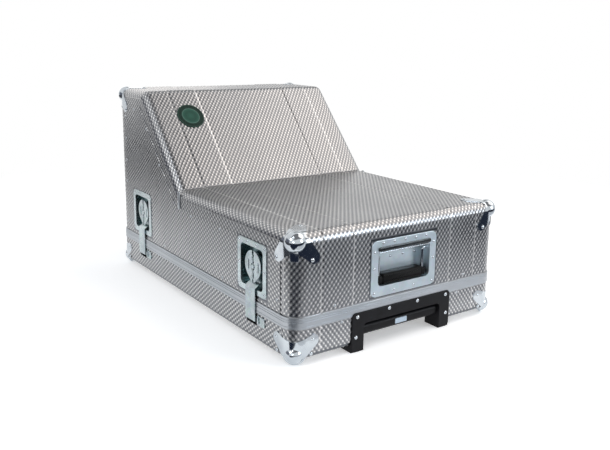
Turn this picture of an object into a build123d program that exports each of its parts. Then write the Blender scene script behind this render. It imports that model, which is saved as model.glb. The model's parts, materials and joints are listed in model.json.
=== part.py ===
from build123d import *
import os
from math import atan2, cos, sin, tan

# Stepped flight case for a small mixer: a shallow base tray under a deep lift-off lid, whose rear half
# rises over the space for plugs and cables. X runs across the case, the front with the carrying handle
# faces -Y, and Z is up from the floor. Millimetres.

# Body of the case
case_width = 548.0
case_depth = 828.0
tray_bottom = 15.0
parting_height = 84.0
low_height = 259.0
high_height = 473.0
slope_foot_y = 58.0
slope_crest_y = 254.0
upright_radius = 32.0
edge_radius = 20.0
bottom_radius = 6.0
sheet = 1.0
plywood = 7.0

# Seams and raised ribs of the sheet
side_sheet_margin = 40.0
flange_width = 60.0
rib_inner = 132.0
rib_outer = 210.0
rib_height = 1.0

# Aluminium rim extrusions along the parting line
rim_proud = 2.0
lid_rim_web = 7.0
base_rim_web = 3.0
lid_rim_height = 14.0
base_rim_height = 9.0
rim_inner_leg = 1.5
rim_leg_height = 9.0
groove_depth = 0.8
groove_height = 1.4
tongue_inset = 4.0
tongue_thickness = 2.4
tongue_height = 4.6
tongue_clearance = 0.4
lid_groove_heights = (4.2, 8.6)
base_groove_drop = 5.0

# Ball corners of the lid and standing corners of the base
ball_radius = 21.0
ball_inset = 17.0
corner_plate = 1.5
leg_reach = 48.0
leg_radius = 12.0
leg_neck = 19.0
foot_ball_radius = 18.5
foot_ball_height = 22.0
foot_leg_height = 34.0
foot_lip_radius = 19.6
foot_lip_bar = 2.8
base_plate_lap = 18.0

# Butterfly latches, two on each side
latch_y = 272.0
latch_z = 164.0
dish_width = 110.0
dish_height = 108.0
dish_corner = 12.0
dish_flange = 1.5
dish_recess = 84.0
dish_depth = 14.0
dish_wall = 1.2
dish_recess_corner = 9.0
throat_width = 44.0
throat_drop = 8.0
hasp_width = 36.0
hasp_thickness = 2.0
hasp_stand_off = 2.8
hasp_bottom_z = 56.0
hasp_head_radius = 25.0
hasp_lip = 2.0
hasp_lift = 1.2
cam_foot_gap = 1.1
cam_foot_height = 1.7
cam_foot_radius = 8.4
cam_radius = 13.0
cam_offset = 4.0
cam_height = 5.0
cam_clearance = 0.9
boss_radius = 6.0
cap_radius = 5.0
bar_half_width = 3.0
bar_thickness = 1.2
wing_axis_depth = 2.4
wing_centre = 3.0
wing_tip_radius = 7.0
finger_rib_x = 18.0
finger_rib_length = 22.0
finger_rib_width = 5.0
wing_radius = 30.0
wing_thickness = 1.6
wing_split = 3.2
knuckle_radius = 2.4
knuckle_length = 5.2
knuckle_pitch = 5.8
knuckle_place = 13.0
ear_place = 22.0
ear_half_length = 2.5
ear_slot_half = 3.2
pin_radius = 1.2
shaft_clearance = 0.1
keeper_width = 54.0
keeper_height = 28.0
keeper_thickness = 2.0
keeper_slot = 12.0
keeper_drop = 3.0
keeper_corner = 4.0

# Sprung carrying handle in the lid's front
handle_z = 162.0
handle_width = 176.0
handle_height = 116.0
handle_recess_width = 140.0
handle_recess_height = 74.0
handle_recess_depth = 24.0
handle_corner = 14.0
handle_recess_corner = 10.0
handle_pivot_drop = 14.0
handle_setback = 11.0
bail_radius = 3.5
bail_bend = 5.0
bail_half_span = 60.0
grip_radius = 9.5
grip_length = 100.0
grip_round = 2.5
grip_drop = 50.0

# Pull-out trolley handle in the base's front
frame_half = 134.5
frame_top = 82.0
frame_reach = 4.4
frame_corner = 10.0
frame_opening_half = 104.6
frame_opening_top = 57.5
frame_opening_corner = 8.0
frame_edge_round = 2.0
frame_leg_depth = 42.0
foot_round = 6.0
recess_half = 108.0
recess_top = 60.0
recess_back = 82.0
box_wall = 2.5
tube_x = 80.0
tube_z = 40.0
outer_tube_radius = 11.0
mid_tube_radius = 9.2
inner_tube_radius = 7.4
tube_wall = 1.5
slide_tube_length = 430.0
outer_tube_excess = 40.0
clamp_from_end = 50.5
clamp_half_width = 16.0
clamp_length = 18.0
clamp_rise = 14.0
trolley_grip_half = 101.0
trolley_grip_depth = 24.0
trolley_grip_height = 22.0
trolley_grip_setback = 2.0
trolley_grip_round = 7.0
button_half = 16.0
button_height = 11.0
button_depth = 9.0
button_travel = 4.0
button_gap = 0.3

# Rear wheels
wheel_x = 190.0
wheel_y = 398.0
wheel_radius = 34.0
wheel_floor_gap = 1.5
tyre_width = 24.0
tyre_depth = 7.0
hub_width = 20.0
axle_radius = 4.0
housing_cavity_half = 15.0
housing_wall = 3.0
housing_flange = 4.0
housing_flange_proud = 2.0
hub_web_half = 3.0
hub_boss_radius = 9.0
hub_rim_wall = 4.0

# Enamelled plate on the slope
badge_radius = 35.0
badge_thickness = 2.0
badge_x = -171.0
badge_height = 412.0
badge_border = 4.0
badge_ring = 8.0

# Lining
false_floor_z = 58.0
false_floor_thickness = 6.0
false_floor_gap = 4.0
batten_inset = 4.0
batten_width = 10.0
foam_thickness = 12.0
foam_end_gap = 50.0
foam_side_gap = 26.0
foam_foot_gap = 20.0
foam_low = 114.0
foam_top_drop = 24.0
foam_clear = 0.3

half_width = case_width / 2
half_depth = case_depth / 2
wrap_half = half_width - sheet
shell = sheet + plywood
slope_angle = atan2(high_height - low_height, slope_crest_y - slope_foot_y)
lid_bottom = parting_height + lid_rim_web
base_top = parting_height - base_rim_web
front_reach = half_depth + frame_reach
middle_y = (wheel_y + wheel_radius - front_reach) / 2
far = 600.0    # beyond every face of the case

os.makedirs("parts", exist_ok=True)


# Writes one sub-part, with the origin under the middle of the whole object
def write(shape, name):
    export_step(Pos(0, -middle_y, 0) * shape, "parts/" + name + ".step")


def block(x0, x1, y0, y1, z0, z1):
    return Pos((x0 + x1) / 2, (y0 + y1) / 2, (z0 + z1) / 2) * Box(x1 - x0, y1 - y0, z1 - z0)


def disc(radius, height, x=0.0, y=0.0, z=0.0):
    return Pos(x, y, z) * Cylinder(radius, height, align=(Align.CENTER, Align.CENTER, Align.MIN))


def rod(radius, start, end):
    line = Edge.make_line(start, end)
    return extrude(Plane(origin=start, z_dir=line % 0) * Circle(radius), line.length)


def plan_slab(half_x, half_y, radius, z0, z1):
    return Pos(0, 0, z0) * extrude(RectangleRounded(2 * half_x, 2 * half_y, radius), z1 - z0)


# Ring with rounded corners between two insets from the case's outer faces; a negative inset stands proud
def plan_ring(outer, inner, z0, z1):
    radius = upright_radius
    whole = plan_slab(half_width - outer, half_depth - outer, radius - outer, z0, z1)
    hole = plan_slab(half_width - inner, half_depth - inner, radius - inner, z0 - 1, z1 + 1)
    return whole - hole


def slope_y(z, inset=0.0):
    return slope_foot_y + inset / sin(slope_angle) + (z - low_height) / tan(slope_angle)


# Low front part of the lid, with its faces inset from the sheet's outer faces
def low_body(inset, bottom):
    half_x = wrap_half - inset
    rear = (slope_foot_y + slope_crest_y) / 2
    body = block(-half_x, half_x, -half_depth + inset, rear, bottom, low_height - inset)
    front_corners = [e for e in body.edges().filter_by(Axis.Z) if e.center().Y < 0]
    body = fillet(front_corners, upright_radius - inset)
    top_edges = [e for e in body.faces().sort_by(Axis.Z)[-1].edges() if e.center().Y < rear - 1]
    return fillet(top_edges, edge_radius - inset)


# Tall rear part of the lid with its slope
def tall_body(inset, bottom):
    half_x = wrap_half - inset
    rear = half_depth - inset
    top = high_height - inset
    side = Polygon((slope_y(bottom, inset), bottom), (rear, bottom), (rear, top),
                   (slope_y(top, inset), top), align=None)
    body = extrude(Plane.YZ.offset(-half_x) * side, 2 * half_x)
    body = fillet(body.edges().filter_by(Axis.Z), upright_radius - inset)
    upper = [e for e in body.edges() if e.bounding_box().max.Z > top - 0.01]
    rounded = [e for e in upper if not (e.geom_type == GeomType.LINE and abs((e % 0.5).Z) > 0.99)]
    return fillet(rounded, edge_radius - inset)


def lid_body(inset, bottom):
    return low_body(inset, bottom) + tall_body(inset, bottom)


# Side view of the lid, drawn a margin inside its edges
def lid_side_outline(margin):
    low = low_height - margin
    high = high_height - margin
    end = half_depth - margin
    return Polygon((-end, lid_bottom), (end, lid_bottom), (end, high), (slope_y(high, margin), high),
                   (slope_y(low, margin), low), (-end, low), align=None)


def side_plate(margin, x0, x1):
    return extrude(Plane.YZ.offset(x0) * lid_side_outline(margin), x1 - x0)


def base_body(inset, top=base_top):
    half_x = half_width - inset
    half_y = half_depth - inset
    body = plan_slab(half_x, half_y, upright_radius - inset, tray_bottom + inset, top)
    return fillet(body.faces().sort_by(Axis.Z)[0].edges(), max(bottom_radius - inset, 1.0))


# Places of the latches: name, side of the case and position along it
latch_places = [("left_front", -1, -latch_y), ("left_rear", -1, latch_y),
                ("right_front", 1, -latch_y), ("right_rear", 1, latch_y)]


# A latch's own frame lies on the side sheet: X along the case, Y up, Z out of the case
def on_side(shape, side, y):
    plane = Plane(origin=(side * half_width, y, latch_z), x_dir=(0, side, 0), z_dir=(side, 0, 0))
    return plane * shape


def on_all_sides(shape):
    return [on_side(shape, side, y) for name, side, y in latch_places]


# Hollow of the latch dish with the throat that lets the hasp out
def dish_hollow(grow, depth, above):
    half = dish_recess / 2
    square = RectangleRounded(2 * (half + grow), 2 * (half + grow), dish_recess_corner + grow)
    throat_low = -half - throat_drop - grow
    throat_height = half + throat_drop + grow
    throat = Pos(0, throat_low + throat_height / 2) * Rectangle(throat_width + 2 * grow, throat_height)
    return Pos(0, 0, -depth) * extrude(square + throat, depth + above)


def dish_cutter():
    return dish_hollow(dish_wall, dish_depth + dish_wall, 2.0)


def latch_dish():
    flange = extrude(RectangleRounded(dish_width, dish_height, dish_corner), dish_flange)
    flange = fillet(flange.faces().sort_by(Axis.Z)[-1].edges(), 1.0)
    pan = dish_hollow(dish_wall, dish_depth + dish_wall, 0.0)
    hollow = dish_hollow(0.0, dish_depth, dish_flange + 1)
    seat = disc(boss_radius - 2, dish_wall + cam_foot_gap - shaft_clearance, z=-dish_depth - dish_wall)
    return flange + pan - hollow + seat


# Turning core: eccentric round which the hasp's eye lies, boss, and the bar that carries the wings' pin
def latch_cam():
    foot_z = -dish_depth + cam_foot_gap
    eccentric_z = foot_z + cam_foot_height
    boss_z = eccentric_z + cam_height
    axis = -wing_axis_depth
    cap_z = axis - 0.6
    foot = disc(cam_foot_radius, cam_foot_height, z=foot_z)
    eccentric = disc(cam_radius, cam_height, y=cam_offset, z=eccentric_z)
    boss = disc(boss_radius, cap_z - boss_z, z=boss_z)
    cap = disc(cap_radius, knuckle_radius + axis - cap_z, z=cap_z)
    cap = fillet(cap.faces().sort_by(Axis.Z)[-1].edges(), 1.5)
    bar_z = axis - knuckle_radius - 1.6
    end = ear_place + ear_half_length
    bar = block(-bar_half_width, bar_half_width, -end, end, bar_z, bar_z + bar_thickness)
    pin = rod(pin_radius, (0, -end, axis), (0, end, axis))
    body = foot + eccentric + boss + cap + bar + pin
    cheek = knuckle_radius - 0.4
    for v in (-ear_place, ear_place):
        low, high = v - ear_half_length, v + ear_half_length
        body += rod(knuckle_radius, (0, low, axis), (0, high, axis))
        body += block(-cheek, cheek, low, high, bar_z, axis)
    return body


# One folded wing: half of a teardrop plate with a raised finger rib and knuckles round the hinge pin
def latch_wing(hand):
    axis = -wing_axis_depth
    head = Pos(0, wing_centre) * Circle(wing_radius)
    tip = Pos(0, -wing_radius + 2) * Circle(wing_tip_radius)
    outline = make_hull(head.edges() + tip.edges())
    own_half = Pos(hand * (wing_split + wing_radius), 0) * Rectangle(2 * wing_radius, 3 * wing_radius)
    outline = outline & own_half - Circle(boss_radius + 1.4)
    plate = Pos(0, 0, axis - wing_thickness / 2) * extrude(outline, wing_thickness)
    finger_rib = extrude(SlotOverall(finger_rib_length, finger_rib_width, rotation=90), 1.0)
    body = plate + Pos(hand * finger_rib_x, 1, axis + wing_thickness / 2) * finger_rib
    reach = knuckle_radius + 1.6
    for v in (-ear_place, ear_place):
        body -= block(-reach, reach, v - ear_slot_half, v + ear_slot_half, axis - reach, axis + reach)
    for v in (-knuckle_place, knuckle_place):
        own = v + hand * knuckle_pitch / 2
        other = v - hand * knuckle_pitch / 2
        half = knuckle_pitch / 2
        body -= block(-reach, reach, other - half, other + half, axis - reach, axis + reach)
        half = knuckle_length / 2
        body += rod(knuckle_radius, (0, own - half, axis), (0, own + half, axis))
        inner, outer = sorted((0.0, hand * (wing_split + 2)))
        body += block(inner, outer, own - half, own + half, axis - wing_thickness / 2,
                      axis + wing_thickness / 2)
    return body - rod(pin_radius + shaft_clearance, (0, -2 * ear_place, axis), (0, 2 * ear_place, axis))


# Pressed tongue: an eye round the eccentric, a joggle out of the dish and the hook over the rim
def latch_hasp():
    head_z = -dish_depth + cam_foot_gap + cam_foot_height + hasp_lift
    outer_z = hasp_stand_off + hasp_thickness
    head_top = hasp_head_radius + cam_offset + 1
    head_low = -dish_recess / 2 + 10
    step_low = -dish_recess / 2 + 0.5
    bottom = hasp_bottom_z - latch_z
    lip_z = rim_proud + 0.4
    bend = 0.9
    section = Polygon(
        (head_top, head_z), (head_low, head_z), (step_low, hasp_stand_off),
        (bottom + hasp_lip, hasp_stand_off), (bottom + hasp_lip, lip_z), (bottom, lip_z), (bottom, outer_z),
        (step_low + bend, outer_z), (head_low + bend, head_z + hasp_thickness),
        (head_top, head_z + hasp_thickness), align=None)
    half = hasp_head_radius + 1
    side_plane = Plane(origin=(-half, 0, 0), x_dir=(0, 1, 0), z_dir=(1, 0, 0))
    strip = extrude(side_plane * section, 2 * half, dir=(1, 0, 0))
    low, high = -2 * dish_depth, 2 * outer_z
    head = disc(hasp_head_radius, high - low, y=cam_offset, z=low)
    stem = block(-hasp_width / 2, hasp_width / 2, bottom - 1, 0, low, high)
    reach = cam_radius + cam_clearance
    eye = extrude(SlotOverall(2 * (reach + cam_offset), 2 * reach), high - low)
    return strip & (head + stem) - Pos(0, cam_offset, low) * eye


def keeper_slot_shape(depth, above):
    middle = hasp_bottom_z - latch_z - keeper_drop
    slot = Pos(0, middle) * RectangleRounded(hasp_width + 4, keeper_slot, 2)
    return Pos(0, 0, -depth) * extrude(slot, depth + above)


def keeper_plate():
    middle = hasp_bottom_z - latch_z - keeper_drop
    outline = Pos(0, middle) * RectangleRounded(keeper_width, keeper_height, keeper_corner)
    return Pos(0, 0, -sheet - keeper_thickness) * extrude(outline, keeper_thickness)


# Latches
for name, side, y in latch_places:
    write(on_side(latch_dish(), side, y), "latch_dish_" + name)
    write(on_side(latch_cam(), side, y), "latch_cam_" + name)
    write(on_side(latch_wing(1), side, y), "latch_wing_a_" + name)
    write(on_side(latch_wing(-1), side, y), "latch_wing_b_" + name)
    write(on_side(latch_hasp(), side, y), "latch_hasp_" + name)

keepers = [on_side(keeper_plate() - keeper_slot_shape(10, 1), side, y) for name, side, y in latch_places]
write(Compound(children=keepers), "latch_keepers")


# Carrying handle: a pressed dish, a sprung wire bail and a rubber grip
handle_pivot_z = handle_z + handle_recess_height / 2 - handle_pivot_drop
handle_y = -half_depth + handle_setback


def on_front(outline, y0, y1):
    plane = Plane(origin=(0, y1, 0), x_dir=(1, 0, 0), z_dir=(0, -1, 0))
    return extrude(plane * outline, y1 - y0)


def handle_hollow(grow, y0, y1):
    outline = Pos(0, handle_z) * RectangleRounded(
        handle_recess_width + 2 * grow, handle_recess_height + 2 * grow, handle_recess_corner + grow)
    return on_front(outline, y0, y1)


front_face = -half_depth
recess_floor = front_face + handle_recess_depth
handle_outline = Pos(0, handle_z) * RectangleRounded(handle_width, handle_height, handle_corner)
handle_flange = on_front(handle_outline, front_face - dish_flange, front_face)
handle_flange = fillet(handle_flange.faces().sort_by(Axis.Y)[0].edges(), 1.0)
handle_pan = handle_hollow(dish_flange, front_face, recess_floor + dish_flange)
handle_dish = handle_flange + handle_pan - handle_hollow(0, front_face - 5, recess_floor)
bail_end = handle_recess_width / 2 + dish_flange
pivot_holes = rod(bail_radius + shaft_clearance, (-bail_end - 1, handle_y, handle_pivot_z),
                  (bail_end + 1, handle_y, handle_pivot_z))
write(handle_dish - pivot_holes, "handle_dish")

grip_z = handle_pivot_z - grip_drop
bail_corners = [(-bail_end, handle_pivot_z), (-bail_half_span, handle_pivot_z), (-bail_half_span, grip_z),
                (bail_half_span, grip_z), (bail_half_span, handle_pivot_z), (bail_end, handle_pivot_z)]
bail_path = FilletPolyline(*[(x, handle_y, z) for x, z in bail_corners], radius=bail_bend)
bail_section = Plane(origin=bail_path @ 0, z_dir=bail_path % 0) * Circle(bail_radius)
write(sweep(bail_section, bail_path), "handle_bail")

grip = rod(grip_radius, (-grip_length / 2, handle_y, grip_z), (grip_length / 2, handle_y, grip_z))
grip = fillet(grip.edges().filter_by(GeomType.CIRCLE), grip_round)
grip -= rod(bail_radius, (-grip_length, handle_y, grip_z), (grip_length, handle_y, grip_z))
write(grip, "handle_grip")

handle_cutter = handle_hollow(dish_flange, front_face - 2, recess_floor + dish_flange)


# Lid: plywood panels, one wrap of ribbed sheet, side sheets, rim and corners
latch_cutters = on_all_sides(dish_cutter())
lid_shell = lid_body(sheet, lid_bottom) - lid_body(shell, lid_bottom - 1)
for cutter in latch_cutters:
    lid_shell -= cutter
lid_shell -= handle_cutter

panel_x = wrap_half - shell
panel_y = half_depth - shell
foot_joint = slope_foot_y + 2
crest_joint = slope_crest_y - 4
lid_panels = [
    lid_shell & block(-far, -panel_x, -far, far, 0, far),
    lid_shell & block(panel_x, far, -far, far, 0, far),
    lid_shell & block(-panel_x, panel_x, -far, -panel_y, 0, far),
    lid_shell & block(-panel_x, panel_x, panel_y, far, 0, far),
    lid_shell & block(-panel_x, panel_x, -panel_y, foot_joint, 0, far),
    lid_shell & block(-panel_x, panel_x, foot_joint, crest_joint, 0, far),
    lid_shell & block(-panel_x, panel_x, crest_joint, panel_y, 0, far)]
write(Compound(children=lid_panels), "lid_core")

rib_bands = [block(rib_inner, rib_outer, -far, far, parting_height + lid_rim_height, far),
             block(-rib_outer, -rib_inner, -far, far, parting_height + lid_rim_height, far)]
wrap = lid_body(0, lid_bottom)
ribbed = lid_body(-rib_height, lid_bottom)
for band in rib_bands:
    wrap += ribbed & band
wrap -= lid_body(sheet, lid_bottom - 1)
for side in (-1, 1):
    x0, x1 = sorted((side * (wrap_half - sheet - 2), side * half_width))
    wrap -= side_plate(flange_width, x0, x1)
for cutter in latch_cutters:
    wrap -= cutter
write(wrap - handle_cutter, "lid_wrap")

outer_shell = lid_body(-corner_plate, lid_bottom) - lid_body(0, lid_bottom - 1)


# Drop-shaped leg of a corner, drawn from the corner point towards the middle of the face
def leg_outline(side_u, side_v, reach_u, reach_v, radius):
    tip = Pos(side_u * reach_u, side_v * reach_v) * Circle(radius)
    neck = Pos(side_u * ball_inset, side_v * ball_inset) * Circle(leg_neck)
    return make_hull(tip.edges() + neck.edges())


def corner_regions(sx, sy, sz, face_z, rise):
    x0, x1 = sorted((sx * (half_width + 5), sx * (wrap_half - edge_radius)))
    y0, y1 = sorted((sy * (half_depth + 5), sy * (half_depth - edge_radius)))
    z0, z1 = sorted((face_z + sz * 5, face_z - sz * edge_radius))
    on_side_face = leg_outline(-sy, -sz, leg_reach, rise, leg_radius)
    side_leg = extrude(Plane.YZ.offset(x0) * (Pos(sy * half_depth, face_z) * on_side_face), x1 - x0)
    front_plane = Plane(origin=(0, y1, 0), x_dir=(1, 0, 0), z_dir=(0, -1, 0))
    on_front_face = Pos(sx * wrap_half, face_z) * leg_outline(-sx, -sz, leg_reach, rise, leg_radius)
    front_leg = extrude(front_plane * on_front_face, y1 - y0)
    top_outline = leg_outline(-sx, -sy, leg_reach, leg_reach, leg_radius)
    on_top = Pos(sx * wrap_half, sy * half_depth) * top_outline
    top_leg = Pos(0, 0, z0) * extrude(on_top, z1 - z0)
    return side_leg + front_leg + top_leg


def ball_centre(sx, sy, z):
    return Pos(sx * (half_width - ball_inset), sy * (half_depth - ball_inset), z)


lid_solid = lid_body(0, lid_bottom)
lid_corners = {}
for name, sx, sy, top in (("front_left", -1, -1, low_height), ("front_right", 1, -1, low_height),
                          ("rear_left", -1, 1, high_height), ("rear_right", 1, 1, high_height)):
    legs = outer_shell & corner_regions(sx, sy, 1, top, leg_reach)
    ball = ball_centre(sx, sy, top - ball_inset) * Sphere(ball_radius)
    lid_corners[name] = legs + (ball - lid_solid)
    write(lid_corners[name], "lid_corner_" + name)

for side, label in ((-1, "left"), (1, "right")):
    outer0, outer1 = sorted((side * wrap_half, side * half_width))
    pad0, pad1 = sorted((side * (wrap_half - sheet), side * wrap_half))
    plate = side_plate(side_sheet_margin, outer0, outer1) + side_plate(flange_width, pad0, pad1)
    for cutter in latch_cutters:
        plate -= cutter
    for corner in lid_corners.values():
        plate -= corner
    write(plate, "lid_side_sheet_" + label)

lid_rim = plan_ring(-rim_proud, 0, parting_height, parting_height + lid_rim_height)
lid_rim += plan_ring(0, shell + 1 + rim_inner_leg, parting_height, lid_bottom)
lid_rim += plan_ring(shell + 1, shell + 1 + rim_inner_leg, lid_bottom - 1, lid_bottom + rim_leg_height)
lid_rim -= plan_ring(tongue_inset - tongue_clearance, tongue_inset + tongue_thickness + tongue_clearance,
                     parting_height - 1, parting_height + tongue_height + tongue_clearance)
for rise in lid_groove_heights:
    groove_z = parting_height + rise
    lid_rim -= plan_ring(-rim_proud - 1, -rim_proud + groove_depth, groove_z, groove_z + groove_height)
write(lid_rim, "lid_rim")


# Plate on the slope, with a raised border and an inner field
groove_floor = badge_thickness - 0.5
badge_disc = disc(badge_radius, badge_thickness)
badge_disc = fillet(badge_disc.faces().sort_by(Axis.Z)[-1].edges(), 0.8)
badge_disc -= (disc(badge_radius - badge_border, 1, z=groove_floor)
               - disc(badge_radius - badge_ring, 1, z=groove_floor))
slope_plane = Plane(origin=(badge_x, slope_y(badge_height), badge_height), x_dir=(1, 0, 0),
                    z_dir=(0, -sin(slope_angle), cos(slope_angle)))
write(slope_plane * Pos(0, 0, rib_height) * badge_disc, "slope_badge")


# Base tray: plywood, embossed sheet, bottom sheet, rim and standing corners
recess_y = -half_depth + recess_back
liner_top = recess_top + box_wall
recess_cutter = block(-recess_half - box_wall, recess_half + box_wall, -far, recess_y + box_wall,
                      tray_bottom - 1, liner_top)
wheel_z = wheel_radius + wheel_floor_gap
housing_half = housing_cavity_half + housing_wall
housing_front = wheel_y - wheel_radius - 4 - housing_wall
housing_top = wheel_z + wheel_radius + 2 + housing_wall


# Space of one wheel housing, as far back as the given face
def housing_space(side, rear):
    x = side * wheel_x
    return block(x - housing_half, x + housing_half, housing_front, rear, tray_bottom, housing_top)


def housing_rim(side):
    x = side * wheel_x
    half = housing_half + housing_flange
    return block(x - half, x + half, half_depth, half_depth + housing_flange_proud,
                 tray_bottom + bottom_radius, parting_height - base_rim_height - 0.5)


housing_cutters = [housing_space(side, half_depth) for side in (-1, 1)]
keeper_cutters = on_all_sides(keeper_plate() + keeper_slot_shape(plywood + 3, 1))
tray = base_body(sheet) - plan_slab(half_width - shell, half_depth - shell, upright_radius - shell,
                                    tray_bottom + shell, base_top + 1)
skin = base_body(0) - base_body(sheet, base_top + 1)
for x in (-rib_outer, rib_inner):
    for y in (-half_depth - rib_height, half_depth - 0.5):
        skin += block(x, x + rib_outer - rib_inner, y, y + rib_height + 0.5, tray_bottom + bottom_radius,
                      parting_height - base_rim_height)
for side in (-1, 1):
    skin -= housing_rim(side)
bottom_edge = leg_reach - base_plate_lap
bottom_sheet = block(-half_width + bottom_edge, half_width - bottom_edge, -half_depth + bottom_edge,
                     half_depth - bottom_edge, tray_bottom, tray_bottom + sheet)
skin -= bottom_sheet
for cutter in [recess_cutter] + housing_cutters + keeper_cutters:
    tray -= cutter
    skin -= cutter
    bottom_sheet -= cutter

base_rim = plan_ring(-rim_proud, 0, parting_height - base_rim_height, parting_height)
base_rim += plan_ring(0, shell + rim_inner_leg, base_top, parting_height)
base_rim += plan_ring(shell, shell + rim_inner_leg, base_top - rim_leg_height, base_top + 1)
base_rim += plan_ring(tongue_inset, tongue_inset + tongue_thickness, base_top + 1,
                      parting_height + tongue_height)
groove_z = parting_height - base_groove_drop
base_rim -= plan_ring(-rim_proud - 1, -rim_proud + groove_depth, groove_z, groove_z + groove_height)
for cutter in housing_cutters:
    base_rim -= cutter

# Moulded frame of the trolley handle: an inverted U over the front, with legs that stand on the floor
frame_front = -half_depth - frame_reach
frame_back = -half_depth + frame_leg_depth
frame_outline = Pos(0, frame_top / 2) * RectangleRounded(2 * frame_half, frame_top, frame_corner)
opening_height = frame_opening_top + 20
opening_outline = Pos(0, frame_opening_top - opening_height / 2) * RectangleRounded(
    2 * frame_opening_half, opening_height, frame_opening_corner)
frame = on_front(frame_outline, frame_front, -half_depth)
frame = fillet(frame.faces().sort_by(Axis.Y)[0].edges(), frame_edge_round)
for side in (-1, 1):
    x0, x1 = sorted((side * frame_opening_half, side * recess_half))
    frame += block(x0, x1, -half_depth - 1, frame_back, tray_bottom, recess_top)
    x0, x1 = sorted((side * frame_opening_half, side * frame_half))
    foot = block(x0, x1, -half_depth - 2, frame_back, 0, tray_bottom)
    foot = fillet([e for e in foot.edges().filter_by(Axis.Z) if e.center().Y > -half_depth], foot_round)
    frame += foot
frame += block(-recess_half, recess_half, -half_depth - 1, frame_back, frame_opening_top, recess_top)
frame -= on_front(opening_outline, frame_front - 1, frame_back + 1)
frame -= base_rim
frame -= block(-half_width, half_width, -half_depth - rim_proud, -half_depth,
               parting_height - base_rim_height - 0.01, parting_height)
write(frame, "trolley_frame")
skin -= frame

write(base_rim, "base_rim")
write(bottom_sheet, "base_bottom_sheet")

wall_x = half_width - shell
wall_y = half_depth - shell
tray_panels = [
    tray & block(-far, -wall_x, -far, far, 0, far),
    tray & block(wall_x, far, -far, far, 0, far),
    tray & block(-wall_x, wall_x, -far, -wall_y, 0, far),
    tray & block(-wall_x, wall_x, wall_y, far, 0, far),
    tray & block(-wall_x, wall_x, -wall_y, wall_y, 0, far)]
write(Compound(children=[solid for panel in tray_panels for solid in panel.solids()]), "base_tray")

base_shell = base_body(-corner_plate) - base_body(0, base_top + 1)
base_solid = base_body(0)
for name, sx, sy in (("front_left", -1, -1), ("front_right", 1, -1),
                     ("rear_left", -1, 1), ("rear_right", 1, 1)):
    legs = base_shell & corner_regions(sx, sy, -1, tray_bottom, foot_leg_height)
    centre = ball_centre(sx, sy, foot_ball_height)
    ball = centre * Sphere(foot_ball_radius)
    turn = Rot(0, 0, -45 * sx * sy) * Rot(90, 0, 0)
    lip = centre * turn * Torus(foot_lip_radius, foot_lip_bar)
    lip &= block(-far, far, -far, far, 0, foot_ball_height + 4)
    write(legs + (ball + lip - base_solid), "base_corner_" + name)
write(skin, "base_skin")


# Round bar along the wheel axis
def across(radius, x0, x1):
    return rod(radius, (x0, wheel_y, wheel_z), (x1, wheel_y, wheel_z))


# Wheels in housings let into the rear
rim_radius = wheel_radius - tyre_depth
for side, label in ((-1, "left"), (1, "right")):
    x = side * wheel_x
    cavity = block(x - housing_cavity_half, x + housing_cavity_half, housing_front + housing_wall, far,
                   tray_bottom - 1, housing_top - housing_wall)
    axle = across(axle_radius, x - housing_half, x + housing_half)
    write(housing_space(side, half_depth) + housing_rim(side) - cavity - axle, "wheel_housing_" + label)
    write(axle, "wheel_axle_" + label)
    bore = across(axle_radius + shaft_clearance, x - housing_half, x + housing_half)
    tyre = across(wheel_radius, x - tyre_width / 2, x + tyre_width / 2)
    tyre = fillet(tyre.edges().filter_by(GeomType.CIRCLE), 4)
    hub = across(rim_radius, x - hub_width / 2, x + hub_width / 2)
    for face in (-1, 1):
        start, end = x + face * hub_web_half, x + face * (hub_width / 2 + 1)
        hub -= across(rim_radius - hub_rim_wall, start, end) - across(hub_boss_radius, start, end)
    write(tyre - across(rim_radius, x - tyre_width / 2, x + tyre_width / 2), "wheel_tyre_" + label)
    write(hub - bore, "wheel_hub_" + label)


# Trolley: liner box, two telescoping tube pairs, grip and release button
def both_tubes(radius, y0, y1):
    return [rod(radius, (sx * tube_x, y0, tube_z), (sx * tube_x, y1, tube_z)) for sx in (-1, 1)]


def tube_pair(radius, y0, y1):
    bores = both_tubes(radius - tube_wall, y0 - 1, y1 + 1)
    return Compound(children=[tube - bores[k] for k, tube in enumerate(both_tubes(radius, y0, y1))])


liner = block(-recess_half - box_wall, recess_half + box_wall, -half_depth, recess_y + box_wall,
              tray_bottom, liner_top)
liner -= block(-recess_half, recess_half, -half_depth - 1, recess_y, tray_bottom - 1, recess_top)
for hole in both_tubes(outer_tube_radius - tube_wall, recess_y - 5, recess_y + 10):
    liner -= hole
write(liner, "trolley_liner")

tubes_front = recess_y + box_wall
outer_tube_length = slide_tube_length + outer_tube_excess
write(tube_pair(outer_tube_radius, tubes_front, tubes_front + outer_tube_length), "trolley_outer_tubes")
write(tube_pair(mid_tube_radius, recess_y, recess_y + slide_tube_length), "trolley_middle_tubes")
grip_front = -half_depth + trolley_grip_setback
grip_back = grip_front + trolley_grip_depth
write(tube_pair(inner_tube_radius, grip_back, grip_back + slide_tube_length), "trolley_inner_tubes")

clamp_y = tubes_front + outer_tube_length - clamp_from_end
clamps = []
for hole in both_tubes(outer_tube_radius, clamp_y - 1, clamp_y + clamp_length + 1):
    x = hole.center().X
    clamp = block(x - clamp_half_width, x + clamp_half_width, clamp_y, clamp_y + clamp_length,
                  tray_bottom + shell, tube_z + clamp_rise)
    clamp = fillet([e for e in clamp.edges().filter_by(Axis.Y) if e.center().Z > tube_z], 8)
    clamps.append(clamp - hole)
write(Compound(children=clamps), "trolley_clamps")

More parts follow.
